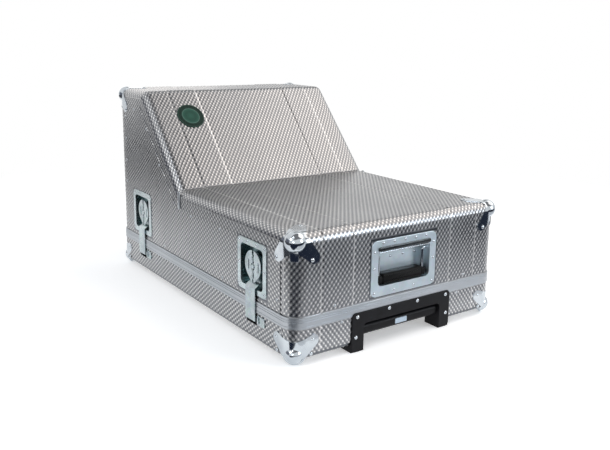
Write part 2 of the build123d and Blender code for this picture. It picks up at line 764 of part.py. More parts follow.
grip_low = tube_z - trolley_grip_height / 2
bar = block(-trolley_grip_half, trolley_grip_half, grip_front, grip_back, grip_low,
            grip_low + trolley_grip_height)
bar = fillet(bar.edges().filter_by(Axis.X), trolley_grip_round)
bar_ends = bar.faces().sort_by(Axis.X)
bar = fillet(bar_ends[0].edges() + bar_ends[-1].edges(), 2)
button_outline = Pos(0, tube_z) * RectangleRounded(2 * button_half, button_height, 2)
pocket_outline = Pos(0, tube_z) * RectangleRounded(
    2 * (button_half + button_gap), button_height + 2 * button_gap, 2 + button_gap)
pocket = on_front(pocket_outline, grip_front - 1, grip_front + button_depth + button_travel)
write(bar - pocket, "trolley_grip")
button = on_front(button_outline, grip_front - 0.5, grip_front + button_depth)
button = fillet(button.faces().sort_by(Axis.Y)[0].edges(), 0.8)
write(button, "trolley_button")


# Lining: false floor over the tubes, foam in the lid
floor_front = tubes_front + false_floor_gap
floor_rear = housing_front - 6
false_floor = block(-wall_x + 2, wall_x - 2, floor_front, floor_rear, false_floor_z,
                    false_floor_z + false_floor_thickness)
for side in (-1, 1):
    batten_x = wall_x - batten_inset
    x0, x1 = sorted((side * batten_x, side * (batten_x - batten_width)))
    false_floor += block(x0, x1, floor_front, floor_rear, tray_bottom + shell, false_floor_z)
write(false_floor, "false_floor")

foam_top = low_height - shell - foam_clear
foam = [block(-panel_x + foam_side_gap, panel_x - foam_side_gap, -panel_y + foam_end_gap,
              slope_foot_y - foam_foot_gap, foam_top - foam_thickness, foam_top)]
between_latches = latch_y - dish_width / 2 - 5
for side in (-1, 1):
    x0, x1 = sorted((side * (panel_x - foam_clear), side * (panel_x - foam_thickness)))
    foam.append(block(x0, x1, -between_latches, between_latches, foam_low,
                      low_height - shell - foam_top_drop))
write(Compound(children=foam), "lid_foam")
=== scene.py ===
import bpy
import bmesh
import json
from math import pi, sin, cos, tan, atan2
from mathutils import Vector, Matrix

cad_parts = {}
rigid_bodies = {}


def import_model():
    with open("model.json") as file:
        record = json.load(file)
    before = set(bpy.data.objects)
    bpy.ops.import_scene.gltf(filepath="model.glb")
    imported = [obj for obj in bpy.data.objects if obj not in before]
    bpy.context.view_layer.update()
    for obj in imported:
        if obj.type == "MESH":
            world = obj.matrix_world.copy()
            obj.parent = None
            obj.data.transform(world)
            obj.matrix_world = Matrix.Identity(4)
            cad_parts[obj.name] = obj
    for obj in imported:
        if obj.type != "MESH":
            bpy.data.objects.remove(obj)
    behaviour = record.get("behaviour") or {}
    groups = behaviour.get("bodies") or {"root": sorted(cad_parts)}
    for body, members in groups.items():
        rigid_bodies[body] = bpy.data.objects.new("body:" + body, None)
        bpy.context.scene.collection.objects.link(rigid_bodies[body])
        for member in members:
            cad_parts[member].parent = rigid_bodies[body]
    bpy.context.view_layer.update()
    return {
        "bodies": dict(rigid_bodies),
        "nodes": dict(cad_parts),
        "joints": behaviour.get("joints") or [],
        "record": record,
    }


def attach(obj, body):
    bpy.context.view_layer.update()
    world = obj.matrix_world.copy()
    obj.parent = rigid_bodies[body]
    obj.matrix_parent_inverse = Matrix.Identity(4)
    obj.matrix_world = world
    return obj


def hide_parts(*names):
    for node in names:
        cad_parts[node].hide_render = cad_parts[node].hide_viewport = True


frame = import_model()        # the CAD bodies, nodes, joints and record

mm = 0.001
rearShift = 6.8    # mm, the frame's y is the case's own y less this


def spot(x, y, z):    # a point of the case, in mm, as the frame's metres
    return Vector((x * mm, (y - rearShift) * mm, z * mm))


def caseMm(point):    # the way back, from the frame's metres
    return point.x / mm, point.y / mm + rearShift, point.z / mm


caseFacts = {    # outside of the sheet, in mm
    "halfWidth": 273.0, "sideFace": 274.0, "halfDepth": 414.0, "lidFrom": 97.0, "floorGap": 15.0,
    "lowTop": 259.0, "highTop": 473.0, "footY": 58.0, "crestY": 254.0,
    "edgeRadius": 20.0, "uprightRadius": 32.0, "footRadius": 6.0, "bottomRadius": 6.0,
}
halfWidth, sideFace, halfDepth = caseFacts["halfWidth"], caseFacts["sideFace"], caseFacts["halfDepth"]
lidFrom, lowTop, highTop = caseFacts["lidFrom"], caseFacts["lowTop"], caseFacts["highTop"]
footY, crestY = caseFacts["footY"], caseFacts["crestY"]
edgeRadius, uprightRadius = caseFacts["edgeRadius"], caseFacts["uprightRadius"]
slopeTurn = atan2(highTop - lowTop, crestY - footY)    # how steep the slope is


# Materials
def bareMaterial(name):
    material = bpy.data.materials.new(name)
    material.use_nodes = True
    tree = material.node_tree
    tree.nodes.clear()
    return material, tree, tree.nodes.new("ShaderNodeOutputMaterial")


def startMaterial(name):
    material, tree, output = bareMaterial(name)
    shader = tree.nodes.new("ShaderNodeBsdfPrincipled")
    tree.links.new(shader.outputs["BSDF"], output.inputs["Surface"])
    place = tree.nodes.new("ShaderNodeTexCoord").outputs["Object"]
    return material, tree, shader, place


def stretched(tree, place, scale):    # coordinates scaled unevenly, for grain and brushing
    mapping = tree.nodes.new("ShaderNodeMapping")
    mapping.inputs["Scale"].default_value = scale
    tree.links.new(place, mapping.inputs["Vector"])
    return mapping.outputs["Vector"]


def noise(tree, place, scale, detail=3.0, roughness=0.55):
    node = tree.nodes.new("ShaderNodeTexNoise")
    node.inputs["Scale"].default_value = scale
    node.inputs["Detail"].default_value = detail
    node.inputs["Roughness"].default_value = roughness
    tree.links.new(place, node.inputs["Vector"])
    return node.outputs["Fac"]


def cells(tree, place, scale, output, feature="F1"):
    node = tree.nodes.new("ShaderNodeTexVoronoi")
    node.feature = feature
    node.inputs["Scale"].default_value = scale
    tree.links.new(place, node.inputs["Vector"])
    return node.outputs[output]


def ramp(tree, value, stops):    # stops are (place, colour)
    node = tree.nodes.new("ShaderNodeValToRGB")
    band = node.color_ramp
    while len(band.elements) < len(stops):
        band.elements.new(0.5)
    for element, (position, colour) in zip(band.elements, stops):
        element.position = position
        element.color = (*colour, 1.0)
    tree.links.new(value, node.inputs["Fac"])
    return node.outputs["Color"]


def spread(tree, value, low, high, fromLow=0.0, fromHigh=1.0):    # low at fromLow, high at fromHigh
    node = tree.nodes.new("ShaderNodeMapRange")
    node.inputs["From Min"].default_value = fromLow
    node.inputs["From Max"].default_value = fromHigh
    node.inputs["To Min"].default_value = low
    node.inputs["To Max"].default_value = high
    tree.links.new(value, node.inputs["Value"])
    return node.outputs["Result"]


def fill(tree, sockets, values):    # a number or a colour is set, and anything else is linked
    for socket, value in zip(sockets, values):
        if isinstance(value, (int, float)):
            socket.default_value = value
        elif isinstance(value, tuple):
            socket.default_value = (*value, 1.0)
        else:
            tree.links.new(value, socket)


def combine(tree, kind, first, second):
    node = tree.nodes.new("ShaderNodeMath")
    node.operation = kind
    fill(tree, node.inputs, (first, second))
    return node.outputs["Value"]


def mixed(tree, amount, first, second, blend="MIX"):
    node = tree.nodes.new("ShaderNodeMix")
    node.data_type = "RGBA"
    node.blend_type = blend
    fill(tree, [node.inputs[0], node.inputs[6], node.inputs[7]], (amount, first, second))
    return node.outputs[2]


def fromMiddle(tree, place):    # metres to the left or right of the case's middle
    parts = tree.nodes.new("ShaderNodeSeparateXYZ")
    tree.links.new(place, parts.inputs["Vector"])
    return combine(tree, "ABSOLUTE", parts.outputs["X"], 0.0)


def bump(tree, shader, height, depth, strength):    # depth in mm
    node = tree.nodes.new("ShaderNodeBump")
    node.inputs["Strength"].default_value = strength
    node.inputs["Distance"].default_value = depth * mm
    tree.links.new(height, node.inputs["Height"])
    tree.links.new(node.outputs["Normal"], shader.inputs["Normal"])


noiseSpan = (0.3, 0.7)    # most of a noise's values lie between these
spangleShare = 0.07    # how much the grains of the zinc show


def metal(name, facts):
    material, tree, shader, place = startMaterial(name)
    shader.inputs["Metallic"].default_value = 1.0
    fine = noise(tree, stretched(tree, place, facts.get("grain", (1, 1, 1))), facts["grainScale"], 4.0)
    patches = noise(tree, place, facts["patchScale"], 2.0)
    colour = ramp(tree, patches, list(zip(noiseSpan, (facts["dark"], facts["light"]))))
    shine = spread(tree, fine, facts["smooth"], facts["rough"], *noiseSpan)
    if "spangle" in facts:
        grains = cells(tree, place, facts["spangle"], "Color")
        colour = mixed(tree, spangleShare, colour, grains, "SOFT_LIGHT")
    if "recessShadeAndDirt" in facts:    # painted shade with some dirt: darker where the pressing goes into the case
        inside = facts["recessShadeAndDirt"]
        deep = spread(tree, fromMiddle(tree, place), 1.0, 0.0, inside["deep"] * mm, inside["face"] * mm)
        colour = mixed(tree, deep, colour, inside["colour"])
    tree.links.new(colour, shader.inputs["Base Color"])
    tree.links.new(shine, shader.inputs["Roughness"])
    bump(tree, shader, fine, facts["grainDepth"], 0.6)
    return material


def moulded(name, facts):
    material, tree, shader, place = startMaterial(name)
    grain = cells(tree, place, facts["grainScale"], "Distance", "SMOOTH_F1")
    patches = noise(tree, place, facts["patchScale"])
    colour = ramp(tree, patches, [(0.3, facts["dark"]), (0.75, facts["light"])])
    tree.links.new(colour, shader.inputs["Base Color"])
    shine = spread(tree, patches, facts["smooth"], facts["rough"], *noiseSpan)
    tree.links.new(shine, shader.inputs["Roughness"])
    shader.inputs["Specular IOR Level"].default_value = facts.get("specular", 0.45)
    bump(tree, shader, grain, facts["grainDepth"], 0.5)
    return material


sheetFacts = {    # embossed aluminium: its hollows, its level and the crests of its dimples; the hollows take painted shade and the crests a near-white painted highlight, partly polish
    "valley": (0.12, 0.13, 0.145), "level": (0.265, 0.27, 0.28), "crest": (0.97, 0.955, 0.94),
    "valleyShine": 0.20, "crestShine": 0.39, "metallic": 0.96,
    "smudge": (0.30, 0.31, 0.33), "smudgeShare": 0.16, "smudgeShine": (-0.04, 0.06), "smudgeScale": 7.0,
    "grainScale": 420.0, "grainDepth": 0.02,
}


def embossedMetal():
    facts = sheetFacts
    material, tree, shader, place = startMaterial("embossedAluminium")
    shader.inputs["Metallic"].default_value = facts["metallic"]
    dimple = tree.nodes.new("ShaderNodeAttribute")    # written by embossed(), 0 in a hollow and 1 on a crest
    dimple.attribute_name = "dimple"
    height = dimple.outputs["Fac"]
    smudges = noise(tree, place, facts["smudgeScale"])
    fine = noise(tree, place, facts["grainScale"])
    # painted light: hollows darkened as shade, crests near white as highlights, partly polish
    colour = ramp(tree, height, [(0.0, facts["valley"]), (0.5, facts["level"]), (0.95, facts["crest"])])
    colour = mixed(tree, spread(tree, smudges, 0.0, facts["smudgeShare"], 0.35, 0.7), colour, facts["smudge"])
    tree.links.new(colour, shader.inputs["Base Color"])
    shine = spread(tree, height, facts["valleyShine"], facts["crestShine"])
    shine = combine(tree, "ADD", shine, spread(tree, smudges, *facts["smudgeShine"], *noiseSpan))
    tree.links.new(shine, shader.inputs["Roughness"])
    bump(tree, shader, fine, facts["grainDepth"], 0.5)
    return material


paint = {    # grain stretches the fine noise, spangle is the number of zinc grains to the metre, depths in mm
    "sheet": embossedMetal(),
    "plainSheet": metal("plainSheet", {
        "dark": (0.42, 0.43, 0.44), "light": (0.56, 0.56, 0.57), "smooth": 0.36, "rough": 0.5,
        "grain": (1, 12, 12), "grainScale": 90, "grainDepth": 0.02, "patchScale": 9}),
    "extrusion": metal("satinExtrusion", {
        "dark": (0.41, 0.44, 0.47), "light": (0.52, 0.54, 0.565), "smooth": 0.3, "rough": 0.44,
        "grain": (1, 1, 30), "grainScale": 60, "grainDepth": 0.012, "patchScale": 5}),
    "bright": metal("brightZinc", {
        "dark": (0.46, 0.50, 0.54), "light": (0.62, 0.66, 0.69), "smooth": 0.06, "rough": 0.15,
        "grainScale": 160, "grainDepth": 0.008, "patchScale": 26}),
    "zinc": metal("paleZinc", {
        "dark": (0.36, 0.42, 0.44), "light": (0.52, 0.59, 0.61), "smooth": 0.22, "rough": 0.34,
        "grainScale": 130, "grainDepth": 0.012, "patchScale": 30, "spangle": 150}),
    "latchDish": metal("latchDishZinc", {
        "dark": (0.44, 0.51, 0.53), "light": (0.58, 0.65, 0.67), "smooth": 0.22, "rough": 0.34,
        "grainScale": 130, "grainDepth": 0.012, "patchScale": 30, "spangle": 150,
        # painted shade with some dirt in the dish's recess
        "recessShadeAndDirt": {"deep": 266.0, "face": 273.6, "colour": (0.17, 0.25, 0.26)}}),
    "handleDish": metal("handleDishZinc", {
        "dark": (0.50, 0.57, 0.61), "light": (0.62, 0.70, 0.75), "smooth": 0.40, "rough": 0.46,
        "grainScale": 130, "grainDepth": 0.003, "patchScale": 24, "spangle": 120}),
    # the hood's zinc coloured near black: painted shade and a painted dark reflection
    "shadedHood": metal("paintedShadeZinc", {
        "dark": (0.055, 0.06, 0.065), "light": (0.10, 0.11, 0.115), "smooth": 0.16, "rough": 0.3,
        "grain": (1, 8, 8), "grainScale": 90, "grainDepth": 0.012, "patchScale": 40}),
    "tube": metal("tubeSteel", {
        "dark": (0.60, 0.61, 0.62), "light": (0.74, 0.75, 0.76), "smooth": 0.1, "rough": 0.2,
        "grain": (40, 1, 40), "grainScale": 30, "grainDepth": 0.006, "patchScale": 12}),
    "blackPlastic": moulded("blackPlastic", {
        "dark": (0.004, 0.004, 0.005), "light": (0.009, 0.009, 0.011), "smooth": 0.42, "rough": 0.56,
        "grainScale": 900, "grainDepth": 0.05, "patchScale": 40, "specular": 0.16}),
    "gripPlastic": moulded("gripPlastic", {
        "dark": (0.003, 0.003, 0.004), "light": (0.008, 0.008, 0.009), "smooth": 0.34, "rough": 0.46,
        "grainScale": 1100, "grainDepth": 0.04, "patchScale": 30, "specular": 0.14}),
    "button": moulded("buttonPlastic", {
        "dark": (0.38, 0.47, 0.56), "light": (0.52, 0.61, 0.70), "smooth": 0.3, "rough": 0.42,
        "grainScale": 1100, "grainDepth": 0.03, "patchScale": 60}),
    "rubber": moulded("gripRubber", {
        "dark": (0.003, 0.003, 0.003), "light": (0.008, 0.008, 0.008), "smooth": 0.42, "rough": 0.6,
        "grainScale": 700, "grainDepth": 0.08, "patchScale": 35, "specular": 0.12}),
    "tyre": moulded("tyreRubber", {
        "dark": (0.02, 0.02, 0.021), "light": (0.045, 0.045, 0.046), "smooth": 0.6, "rough": 0.78,
        "grainScale": 500, "grainDepth": 0.12, "patchScale": 25}),
    "hub": moulded("hubPlastic", {
        "dark": (0.10, 0.10, 0.105), "light": (0.16, 0.16, 0.165), "smooth": 0.4, "rough": 0.55,
        "grainScale": 800, "grainDepth": 0.05, "patchScale": 40}),
}

plywoodFacts = {    # from this many mm off the middle the plywood is painted near black as shade, which shows in the hook slots
    "birchPlywood": {"light": (0.52, 0.37, 0.21), "dark": (0.40, 0.27, 0.14), "shadeFrom": 262.5},
    "stainedPlywood": {"light": (0.045, 0.042, 0.04), "dark": (0.025, 0.024, 0.023)},
}
# painted shade for the plywood seen in the hook slots: its near-black colour, and the blend
slotShade = {"colour": (0.006, 0.006, 0.007), "blend": 0.5}    # blend in mm
woodGrain = {    # stretch, scale, detail and roughness of each noise
    "rings": ((7, 1.2, 7), 6.0, 5.0, 0.6), "fibres": ((160, 6, 160), 8.0, 3.0, 0.55),
}


def grained(tree, place, kind):
    stretch, scale, detail, roughness = woodGrain[kind]
    return noise(tree, stretched(tree, place, stretch), scale, detail, roughness)


def plywoodMaterial(name):
    facts = plywoodFacts[name]
    light, dark = facts["light"], facts["dark"]
    material, tree, shader, place = startMaterial(name)
    rings = grained(tree, place, "rings")
    fibres = grained(tree, place, "fibres")
    colour = ramp(tree, rings, [(0.3, dark), (0.55, light), (0.7, dark)])
    colour = mixed(tree, spread(tree, fibres, 0.0, 0.35, 0.4, 0.7), colour, dark)
    # painted shade: near black where the plywood shows in the hook slots
    if "shadeFrom" in facts:
        ends = facts["shadeFrom"] * mm, (facts["shadeFrom"] + slotShade["blend"]) * mm
        painted = spread(tree, fromMiddle(tree, place), 0.0, 1.0, *ends)
        colour = mixed(tree, painted, colour, slotShade["colour"])
    tree.links.new(colour, shader.inputs["Base Color"])
    tree.links.new(spread(tree, fibres, 0.5, 0.7), shader.inputs["Roughness"])
    bump(tree, shader, fibres, 0.1, 0.5)
    return material


foamLook = {
    "dark": (0.030, 0.030, 0.032), "light": (0.055, 0.055, 0.058), "pore": (0.012, 0.012, 0.013),
    "poreScale": 620.0, "poreDepth": 0.6, "patchScale": 18.0, "roughness": 0.95,
}


def foamMaterial():
    facts = foamLook
    material, tree, shader, place = startMaterial("lidFoam")
    pores = cells(tree, place, facts["poreScale"], "Distance")
    patches = noise(tree, place, facts["patchScale"])
    colour = ramp(tree, patches, list(zip(noiseSpan, (facts["dark"], facts["light"]))))
    colour = mixed(tree, spread(tree, pores, 0.5, 0.0, 0.0, 0.6), colour, facts["pore"])
    tree.links.new(colour, shader.inputs["Base Color"])
    shader.inputs["Roughness"].default_value = facts["roughness"]
    bump(tree, shader, pores, facts["poreDepth"], 0.8)
    return material


badgeFacts = {    # plain rings round the middle of the plate, each stop at its share of the radius
    "x": -171.0, "height": 412.0, "radius": 35.0, "specular": 0.2,
    "speckle": (0.03, 0.12, 0.08), "speckleScale": 300.0,
    "stops": [(0.0, (0.016, 0.080, 0.055)), (0.40, (0.008, 0.050, 0.034)), (0.60, (0.016, 0.075, 0.052)),
              (0.64, (0.075, 0.150, 0.120)), (0.68, (0.002, 0.022, 0.014)), (0.92, (0.001, 0.014, 0.009)),
              (0.96, (0.020, 0.055, 0.042)), (1.0, (0.004, 0.020, 0.014))],
}


def badgeMaterial():
    facts = badgeFacts
    material, tree, shader, place = startMaterial("badgeEnamel")
    slopeY = footY + (facts["height"] - lowTop) / tan(slopeTurn)
    away = tree.nodes.new("ShaderNodeVectorMath")
    away.operation = "DISTANCE"
    away.inputs[1].default_value = spot(facts["x"], slopeY, facts["height"])
    tree.links.new(place, away.inputs[0])
    ring = spread(tree, away.outputs["Value"], 0.0, 1.0, 0.0, facts["radius"] * mm)
    speckle = noise(tree, place, facts["speckleScale"], 2.0)
    colour = ramp(tree, ring, facts["stops"])
    colour = mixed(tree, spread(tree, speckle, 0.0, 0.10, 0.4, 0.7), colour, facts["speckle"])
    tree.links.new(colour, shader.inputs["Base Color"])
    tree.links.new(spread(tree, speckle, 0.3, 0.42), shader.inputs["Roughness"])
    shader.inputs["Specular IOR Level"].default_value = facts["specular"]
    bump(tree, shader, ring, 0.2, 0.15)
    return material


paint["plywood"] = plywoodMaterial("birchPlywood")
paint["darkPly"] = plywoodMaterial("stainedPlywood")
paint["foam"] = foamMaterial()
paint["badge"] = badgeMaterial()
print("materials made")


# CAD nodes take their finish
corners = ["front_left", "front_right", "rear_left", "rear_right"]
latchSides = ["left_front", "left_rear", "right_front", "right_rear"]
latchParts = ["latch_cam_", "latch_wing_a_", "latch_wing_b_", "latch_hasp_"]
dressed = {
    "plywood": ["base_tray", "lid_core"],
    "darkPly": ["false_floor"],
    "plainSheet": ["base_bottom_sheet"],
    "extrusion": ["base_rim", "lid_rim"],
    "bright": ["lid_corner_" + c for c in corners] + ["base_corner_" + c for c in corners] + ["handle_bail"],
    "zinc": [n + s for n in latchParts for s in latchSides]
            + ["latch_keepers", "wheel_axle_left", "wheel_axle_right"],
    "latchDish": ["latch_dish_" + s for s in latchSides],
    "handleDish": ["handle_dish"],
    "tube": ["trolley_outer_tubes", "trolley_middle_tubes", "trolley_inner_tubes"],
    "blackPlastic": ["trolley_frame", "trolley_liner", "trolley_clamps",
                     "wheel_housing_left", "wheel_housing_right"],
    "gripPlastic": ["trolley_grip"],
    "button": ["trolley_button"],
    "rubber": ["handle_grip"],
    "tyre": ["wheel_tyre_left", "wheel_tyre_right"],
    "hub": ["wheel_hub_left", "wheel_hub_right"],
    "badge": ["slope_badge"],
}
for finish, names in dressed.items():
    for name in names:
        for holder in frame["nodes"][name].material_slots:
            holder.material = paint[finish]
print("CAD nodes dressed")


# New pieces
def meshFrom(bm, name):
    mesh = bpy.data.meshes.new(name)
    bm.to_mesh(mesh)
    bm.free()
    return mesh


def added(name, data):
    thing = bpy.data.objects.new(name, data)
    bpy.context.scene.collection.objects.link(thing)
    return thing


def keep(bm, name, body, material, replaced=()):
    mesh = meshFrom(bm, name)
    mesh.shade_smooth()
    piece = added(name, mesh)
    mesh.materials.append(paint[material])
    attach(piece, body)
    if replaced:
        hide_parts(*replaced)
    return piece


dimpleFacts = {    # mm between the grid's lines, four to a cell each way, and mm high
    "long": 3.3, "sideLong": 3.4, "short": 2.575, "height": 0.74,
    "seamHighlight": 0.75,    # height that the finish reads along seams and borders, which have no dimple: a painted highlight line
}


def dimpleAt(i, j):    # raised at every other crossing of even grid lines, sunk at the rest
    if i % 2 or j % 2:
        return 0.0
    return 1.0 if (i // 2 + j // 2) % 2 == 0 else -1.0


# shape(i, j) gives the sheet's point, its outward normal and how much of the dimple shows: 0 on a seam,
# which is painted light as a highlight, below 0 painted dark as shade, in a groove or beside a flange
def embossed(columns, rows, shape):
    bm = bmesh.new()
    bmesh.ops.create_grid(bm, x_segments=columns, y_segments=rows, size=1.0)
    layer = bm.verts.layers.float.new("dimple")
    outward = {}
    for vertex in bm.verts:
        i = round((vertex.co.x + 1) / 2 * columns)
        j = round((vertex.co.y + 1) / 2 * rows)
        point, normal, share = shape(i, j)
        rise = dimpleAt(i, j) * max(share, 0.0)
        vertex.co = point + normal * rise * dimpleFacts["height"] * mm
        # seams and borders read a painted highlight tone, shares below 0 the dark of painted shade
        vertex[layer] = 0.5 + 0.5 * rise if share > 0 else (dimpleFacts["seamHighlight"] if share == 0 else 0.0)
        outward[vertex] = normal
    bm.normal_update()
    face = max(bm.faces, key=lambda f: f.calc_area())
    if face.normal.dot(outward[face.verts[0]]) < 0:
        bmesh.ops.reverse_faces(bm, faces=bm.faces)
    return bm


noLimit = 1e9


def roundedPath(points, step):    # points are (y, z, radius); gives (y, z, normalY, normalZ, depthLimit)
    samples = []
    start = Vector(points[0][:2])
    for k in range(1, len(points)):
        here = Vector(points[k][:2])
        way = (here - Vector(points[k - 1][:2])).normalized()
        normal = Vector((-way.y, way.x))
        radius = points[k][2]
        turn = 0.0
        if k < len(points) - 1:
            onward = (Vector(points[k + 1][:2]) - here).normalized()
            turn = atan2(way.cross(onward), way.dot(onward))
        reach = radius * tan(abs(turn) / 2)
        end = here - way * reach
        count = max(1, round((end - start).length / step))
        for n in range(count + (0 if turn else 1)):
            point = start.lerp(end, n / count)
            samples.append((point.x, point.y, normal.x, normal.y, noLimit))
        if turn:
            sign = 1.0 if turn > 0 else -1.0
            centre = end + normal * radius * sign
            steps = max(3, round(radius * abs(turn) / step))
            for n in range(steps):
                turned = Matrix.Rotation(turn * n / steps, 2) @ normal
                point = centre - turned * radius * sign
                samples.append((point.x, point.y, turned.x, turned.y, radius if sign < 0 else noLimit))
            start = centre - (Matrix.Rotation(turn, 2) @ normal) * radius * sign
    return samples


ribFacts = {"inner": 130.8, "outer": 207.7, "rise": 1.0, "seam": -0.5}    # raised strips, mm from the middle


def ribRise(x):    # height of the rib, or of the seam along its edge, and how much of the dimple shows
    off = abs(x)
    nearest = min(abs(off - ribFacts["inner"]), abs(off - ribFacts["outer"]))
    if nearest < dimpleFacts["short"] / 2:
        return ribFacts["seam"], 0.0
    return (ribFacts["rise"] if ribFacts["inner"] < off < ribFacts["outer"] else 0.0), 1.0


wrapFacts = {    # mm, and grid columns: the flat middle of the wrap, and the strip that turns over each edge
    "flatHalf": 241.0, "flatColumns": 188, "turnColumns": 20, "turnLength": 50.0,
    "narrowTo": 20.0, "wideFrom": 29.0,    # below the top, an upright corner widens between these
}
onWall = 1.0    # mm, as near as this is on a wall


def section(run, upright):    # across the wrap: run is mm past the flat, gives x and the depth below the face
    radius = edgeRadius * (1 - upright) + uprightRadius * upright
    flat = halfWidth - wrapFacts["flatHalf"] - radius
    length = flat + radius * pi / 2
    along = run / wrapFacts["turnLength"] * length
    if along <= flat:
        return wrapFacts["flatHalf"] + along, 0.0, 0.0
    angle = min((along - flat) / radius, pi / 2)
    return wrapFacts["flatHalf"] + flat + radius * sin(angle), radius * (1 - cos(angle)), angle


def widening(below):    # from the narrow radius, 0, to the wide one, 1
    share = (below - wrapFacts["narrowTo"]) / (wrapFacts["wideFrom"] - wrapFacts["narrowTo"])
    share = min(1.0, max(0.0, share))
    return share * share * (3 - 2 * share)


def lowUpright(y, z):    # corners of the front wall have the wide radius, its top edge the narrow one
    return widening(lowTop - z) if y < -halfDepth + onWall else 0.0


def highUpright(y, z):
    return widening(highTop - z) if y > halfDepth - onWall else 0.0


handleFacts = {"z": 162.0, "holeHalfX": 76.0, "holeHalfZ": 43.0, "halfX": 88.0, "halfZ": 58.0}
flangeShadow = 2.8    # mm, the painted shadow round a flange that sits on the sheet


def besideFlange(u, v, halfU, halfV):
    outside = max(abs(u) - halfU, abs(v) - halfV)
    return 0.0 < outside < flangeShadow


def handleHole(centre):    # the opening behind the dish of the carrying handle
    x, y, z = caseMm(centre)
    inside = abs(x) < handleFacts["holeHalfX"] and abs(z - handleFacts["z"]) < handleFacts["holeHalfZ"]
    return inside and y < -halfDepth + onWall


def wrapShape(path, uprightShare, hole=None):
    edge = wrapFacts["flatColumns"] // 2
    total = edge + wrapFacts["turnColumns"]

    def shape(i, j):
        column = i - total
        y, z, normalY, normalZ, limit = path[j]
        side = -1.0 if column < 0 else 1.0
        share = 1.0
        if abs(column) <= edge:
            x = wrapFacts["flatHalf"] * abs(column) / edge
            rise, share = ribRise(x)
            depth, angle = -rise, 0.0
        else:
            run = (abs(column) - edge) * wrapFacts["turnLength"] / wrapFacts["turnColumns"]
            x, depth, angle = section(run, uprightShare(y, z))
            depth = min(depth, limit)
        flange = besideFlange(x, z - handleFacts["z"], handleFacts["halfX"], handleFacts["halfZ"])
        if abs(column) == total or j in (0, len(path) - 1):
            share = 0.0
        elif flange and y < -halfDepth + onWall:
            # painted shadow of the handle dish's flange on the sheet
            share = -1.0
        point = spot(side * x, y - normalY * depth, z - normalZ * depth)
        normal = Vector((side * sin(angle), normalY * cos(angle), normalZ * cos(angle)))
        return point, normal, share
    bm = embossed(2 * total, len(path) - 1, shape)
    gone = [f for f in bm.faces if hole and hole(f.calc_center_median())]
    bmesh.ops.delete(bm, geom=gone, context="FACES")
    bmesh.ops.dissolve_degenerate(bm, dist=1e-6, edges=bm.edges)
    return bm


footRadius = caseFacts["footRadius"]
joinY = footY - footRadius * tan(slopeTurn / 2) - footRadius    # the low and the high sheet meet here
lowPath = roundedPath([(-halfDepth, lidFrom, 0.0), (-halfDepth, lowTop, edgeRadius), (footY, lowTop, 0.0)],
                      dimpleFacts["long"])
lowPath = [p for p in lowPath if p[0] < joinY]
highPath = roundedPath([(joinY, lowTop, 0.0), (footY, lowTop, footRadius), (crestY, highTop, edgeRadius),
                        (halfDepth, highTop, edgeRadius), (halfDepth, lidFrom, 0.0)], dimpleFacts["long"])
lowWrap = wrapShape(lowPath, lowUpright, handleHole)
keep(lowWrap, "lidSheetLow", "lid", "sheet", ["lid_wrap"])
keep(wrapShape(highPath, highUpright), "lidSheetHigh", "lid", "sheet")
print("wrap of the lid made")


# Side sheets of the lid, and the flanges of the wrap round them
panelFacts = {"gridInset": 4.0, "plateInset": 40.0, "flangeTo": 46.0, "thickness": 1.2}    # mm
latchFacts = {    # mm: middle and half size of the dish's flange, its opening, and the cut for the hasp
    "y": 272.0, "z": 164.0, "halfY": 55.0, "halfZ": 54.0, "holeHalf": 45.5, "cutHalfY": 25.0, "cutDown": 52.5,
}


def latchHole(y, z):
    across, up = abs(abs(y) - latchFacts["y"]), z - latchFacts["z"]
    cut = across < latchFacts["cutHalfY"] and -latchFacts["cutDown"] < up < 0
    return cut or max(across, abs(up)) < latchFacts["holeHalf"]


def sideDepth(y, z):    # mm inside the side view of the lid
    low = min(y + halfDepth, halfDepth - y, lowTop - z)
    across = (y - footY) * sin(slopeTurn) - (z - lowTop) * cos(slopeTurn)
    tall = min(halfDepth - y, highTop - z, across)
    return max(low, tall)


def scored(bm, point, normal):    # a cut line through a sheet, which stays whole
    geometry = bm.verts[:] + bm.edges[:] + bm.faces[:]
    bmesh.ops.bisect_plane(bm, geom=geometry, dist=1e-6, plane_co=point, plane_no=normal)


def sidePanel(side, face, outer, inner, wallMargin):    # embossed, between two insets of the outline
    reach = halfDepth - panelFacts["gridInset"]
    tall = highTop - panelFacts["gridInset"] - lidFrom
    columns = round(2 * reach / dimpleFacts["sideLong"])
    rows = round(tall / dimpleFacts["short"])
    outward, upward, rearward = Vector((side, 0, 0)), Vector((0, 0, 1)), Vector((0, 1, 0))
    offSlope = Vector((0, -sin(slopeTurn), cos(slopeTurn)))

    def shape(i, j):
        y = -reach + 2 * reach * i / columns
        z = lidFrom + tall * j / rows
        offLatch = abs(y) - latchFacts["y"], z - latchFacts["z"]
        beside = besideFlange(*offLatch, latchFacts["halfY"], latchFacts["halfZ"])
        # painted shadow of the latch dish's flange on the sheet
        return spot(side * face, y, z), outward, -1.0 if beside else 1.0
    bm = embossed(columns, rows, shape)
    for margin in (outer, inner):
        if margin is not None:
            scored(bm, spot(0, footY, lowTop) - offSlope * margin * mm, offSlope)
            scored(bm, spot(0, 0, lowTop - margin), upward)
            scored(bm, spot(0, 0, highTop - margin), upward)
            scored(bm, spot(0, -halfDepth + margin, 0), rearward)
            scored(bm, spot(0, halfDepth - margin, 0), rearward)
    for wall in (-1, 1):
        scored(bm, spot(0, wall * (halfDepth - wallMargin), 0), rearward)
    gone = []
    for f in bm.faces:
        x, y, z = caseMm(f.calc_center_median())
        depth = sideDepth(y, z)
        outside = depth < outer or halfDepth - abs(y) < wallMargin
        if outside or (inner is not None and depth > inner) or latchHole(y, z):
            gone.append(f)
    bmesh.ops.delete(bm, geom=gone, context="FACES")
    return bm


